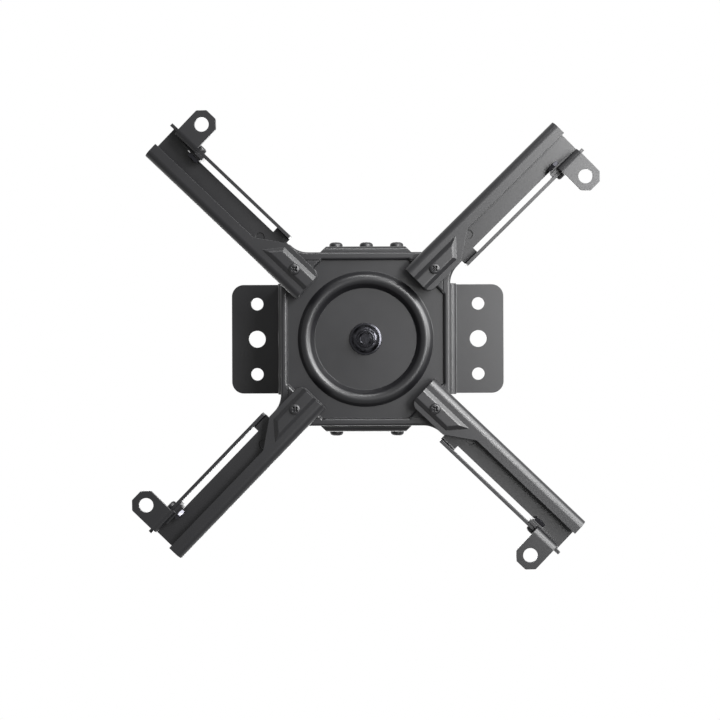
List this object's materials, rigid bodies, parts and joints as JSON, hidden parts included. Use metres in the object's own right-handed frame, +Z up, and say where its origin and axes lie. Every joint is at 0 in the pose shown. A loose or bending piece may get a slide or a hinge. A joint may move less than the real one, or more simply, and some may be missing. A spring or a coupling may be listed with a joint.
{
  "type": "projector ceiling mount",
  "caption": "Low ceiling mount for a projector: a hat-shaped ceiling bracket, a tilting yoke, a swivelling pan and spread arms with sliding hooked tabs.",
  "frame": {"origin": "centre of the ceiling screw pattern, on the face that lies against the ceiling", "axes": "+Z up into the ceiling, +X along the row of wings, +Y towards the side with two lock screws"},
  "size_m": [0.2758, 0.2708, 0.081],
  "materials": {
    "powder_coat": "satin black powder coat on folded sheet steel",
    "black_fastener": "black plated steel fasteners",
    "bearing_plastic": "dark nylon"
  },
  "bodies": {
    "bracket": {"ceiling_bracket": "powder_coat", "lock_screw_front_right": "black_fastener", "lock_screw_back_right": "black_fastener", "lock_screw_back_left": "black_fastener", "lock_screw_front_left": "black_fastener", "lock_nut_front_right": "black_fastener", "lock_nut_back_right": "black_fastener", "lock_nut_back_left": "black_fastener", "lock_nut_front_left": "black_fastener", "tilt_pivot_screw": "black_fastener", "tilt_pivot_nut": "black_fastener", "tilt_pivot_rivet": "black_fastener"},
    "yoke": {"tilt_yoke": "powder_coat", "swivel_bolt": "black_fastener", "swivel_bearing": "bearing_plastic"},
    "pan": {"swivel_pan": "powder_coat", "swivel_washer": "black_fastener", "swivel_nut": "black_fastener", "arm_screw_front_right": "black_fastener", "arm_screw_back_right": "black_fastener", "arm_screw_back_left": "black_fastener", "arm_screw_front_left": "black_fastener", "arm_nut_front_right": "black_fastener", "arm_nut_back_right": "black_fastener", "arm_nut_back_left": "black_fastener", "arm_nut_front_left": "black_fastener"},
    "swing_arm_front_right": {"arm_front_right": "powder_coat", "arm_bush_front_right": "black_fastener"},
    "slider_front_right": {"tab_front_right": "powder_coat", "clamp_plate_front_right": "powder_coat", "tab_screw_front_right": "black_fastener", "tab_nut_front_right": "black_fastener"},
    "swing_arm_back_right": {"arm_back_right": "powder_coat", "arm_bush_back_right": "black_fastener"},
    "slider_back_right": {"tab_back_right": "powder_coat", "clamp_plate_back_right": "powder_coat", "tab_screw_back_right": "black_fastener", "tab_nut_back_right": "black_fastener"},
    "swing_arm_back_left": {"arm_back_left": "powder_coat", "arm_bush_back_left": "black_fastener"},
    "slider_back_left": {"tab_back_left": "powder_coat", "clamp_plate_back_left": "powder_coat", "tab_screw_back_left": "black_fastener", "tab_nut_back_left": "black_fastener"},
    "swing_arm_front_left": {"arm_front_left": "powder_coat", "arm_bush_front_left": "black_fastener"},
    "slider_front_left": {"tab_front_left": "powder_coat", "clamp_plate_front_left": "powder_coat", "tab_screw_front_left": "black_fastener", "tab_nut_front_left": "black_fastener"}
  },
  "joints": [
    {"name": "tilt", "type": "hinge", "parent": "bracket", "child": "yoke", "pos_m": [0, 0, -0.034], "axis": [0, 1, 0], "range_deg": [-12, 12]},
    {"name": "swivel", "type": "hinge", "parent": "yoke", "child": "pan", "pos_m": [0, 0, -0.058], "axis": [0, 0, 1], "continuous": true},
    {"name": "arm_swing_front_right", "type": "hinge", "parent": "pan", "child": "swing_arm_front_right", "pos_m": [0.0414, -0.0414, -0.063], "axis": [0, 0, 1], "range_deg": [-28.4, 27.6]},
    {"name": "tab_slide_front_right", "type": "slide", "parent": "swing_arm_front_right", "child": "slider_front_right", "axis": [0.712, -0.7022, 0], "range_m": [-0.0671, 0]},
    {"name": "arm_swing_back_right", "type": "hinge", "parent": "pan", "child": "swing_arm_back_right", "pos_m": [0.0414, 0.0414, -0.063], "axis": [0, 0, 1], "range_deg": [-26.7, 29.3]},
    {"name": "tab_slide_back_right", "type": "slide", "parent": "swing_arm_back_right", "child": "slider_back_right", "axis": [0.723, 0.6909, 0], "range_m": [-0.0657, 0.0014]},
    {"name": "arm_swing_back_left", "type": "hinge", "parent": "pan", "child": "swing_arm_back_left", "pos_m": [-0.0414, 0.0414, -0.063], "axis": [0, 0, 1], "range_deg": [-27.1, 28.9]},
    {"name": "tab_slide_back_left", "type": "slide", "parent": "swing_arm_back_left", "child": "slider_back_left", "axis": [-0.6959, 0.7181, 0], "range_m": [-0.0671, 0]},
    {"name": "arm_swing_front_left", "type": "hinge", "parent": "pan", "child": "swing_arm_front_left", "pos_m": [-0.0414, -0.0414, -0.063], "axis": [0, 0, 1], "range_deg": [-26.8, 29.2]},
    {"name": "tab_slide_front_left", "type": "slide", "parent": "swing_arm_front_left", "child": "slider_front_left", "axis": [-0.7218, -0.6921, 0], "range_m": [-0.06405, 0.00305]}
  ]
}
